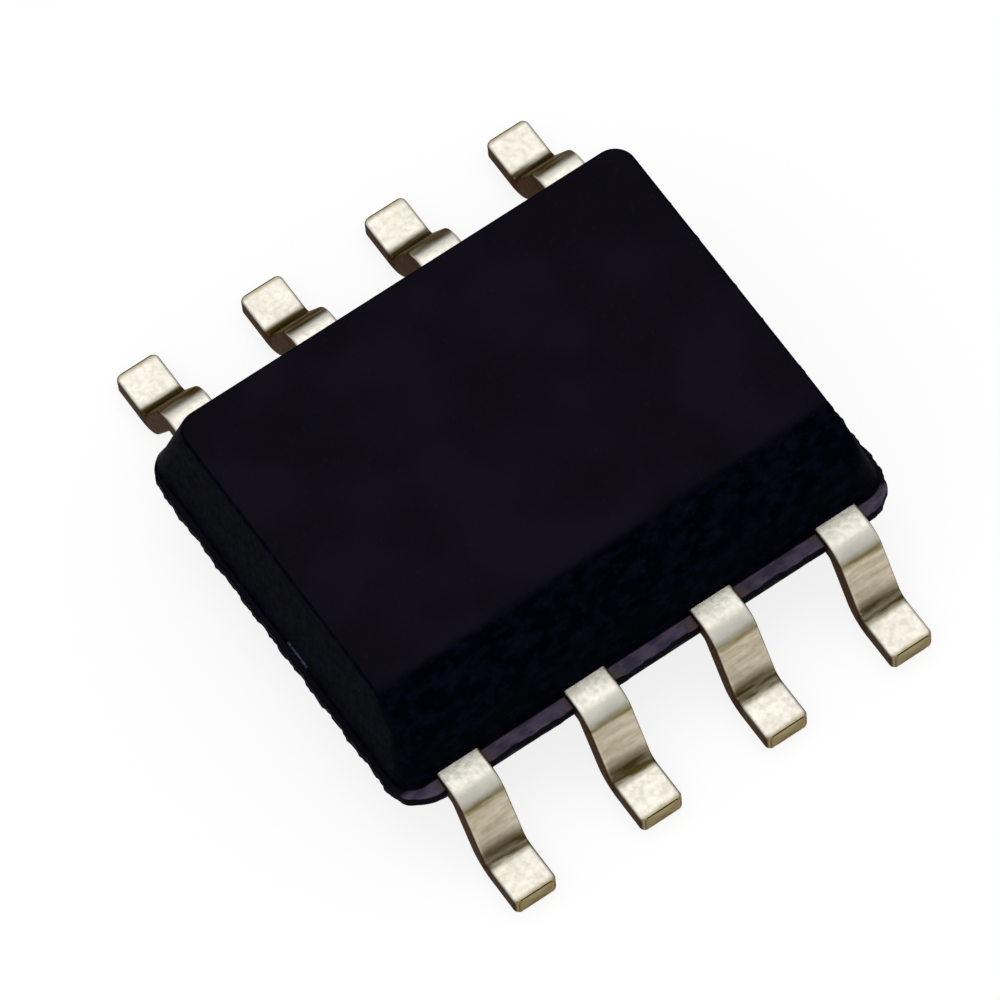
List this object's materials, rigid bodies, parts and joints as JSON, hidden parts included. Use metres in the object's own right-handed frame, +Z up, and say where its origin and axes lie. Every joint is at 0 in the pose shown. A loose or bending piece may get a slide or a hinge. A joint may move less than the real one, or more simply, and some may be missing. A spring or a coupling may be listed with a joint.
{
  "type": "small-outline amplifier chip",
  "caption": "Small-outline surface-mount amplifier chip: bevelled black moulded body with two rows of tin-plated gull-wing leads.",
  "frame": {"origin": "centre of the package on the seating plane, the plane of the undersides of the feet", "axes": "+X along the body and the lead rows, +Y away from the bevelled side where pins 1 to 4 stand, +Z up out of the board"},
  "size_m": [0.005, 0.006, 0.0016],
  "materials": {
    "moulding_compound": "matte black filled epoxy",
    "tin_plated_lead": "satin tin plating, lightly streaked by forming",
    "copper_alloy": "bare copper alloy strip",
    "attach_paste": "cured silver-filled paste",
    "silicon": "polished silicon with a pale metal grid",
    "gold_wire": "bright drawn gold"
  },
  "bodies": {
    "root": {"body": "moulding_compound", "die_paddle": "copper_alloy", "die_attach": "attach_paste", "die": "silicon", "bond_wire_1": "gold_wire", "bond_wire_2": "gold_wire", "bond_wire_3": "gold_wire", "bond_wire_4": "gold_wire", "bond_wire_5": "gold_wire", "bond_wire_6": "gold_wire", "bond_wire_7": "gold_wire", "bond_wire_8": "gold_wire", "lead_1": "tin_plated_lead", "lead_2": "tin_plated_lead", "lead_3": "tin_plated_lead", "lead_4": "tin_plated_lead", "lead_5": "tin_plated_lead", "lead_6": "tin_plated_lead", "lead_7": "tin_plated_lead", "lead_8": "tin_plated_lead"}
  },
  "joints": []
}
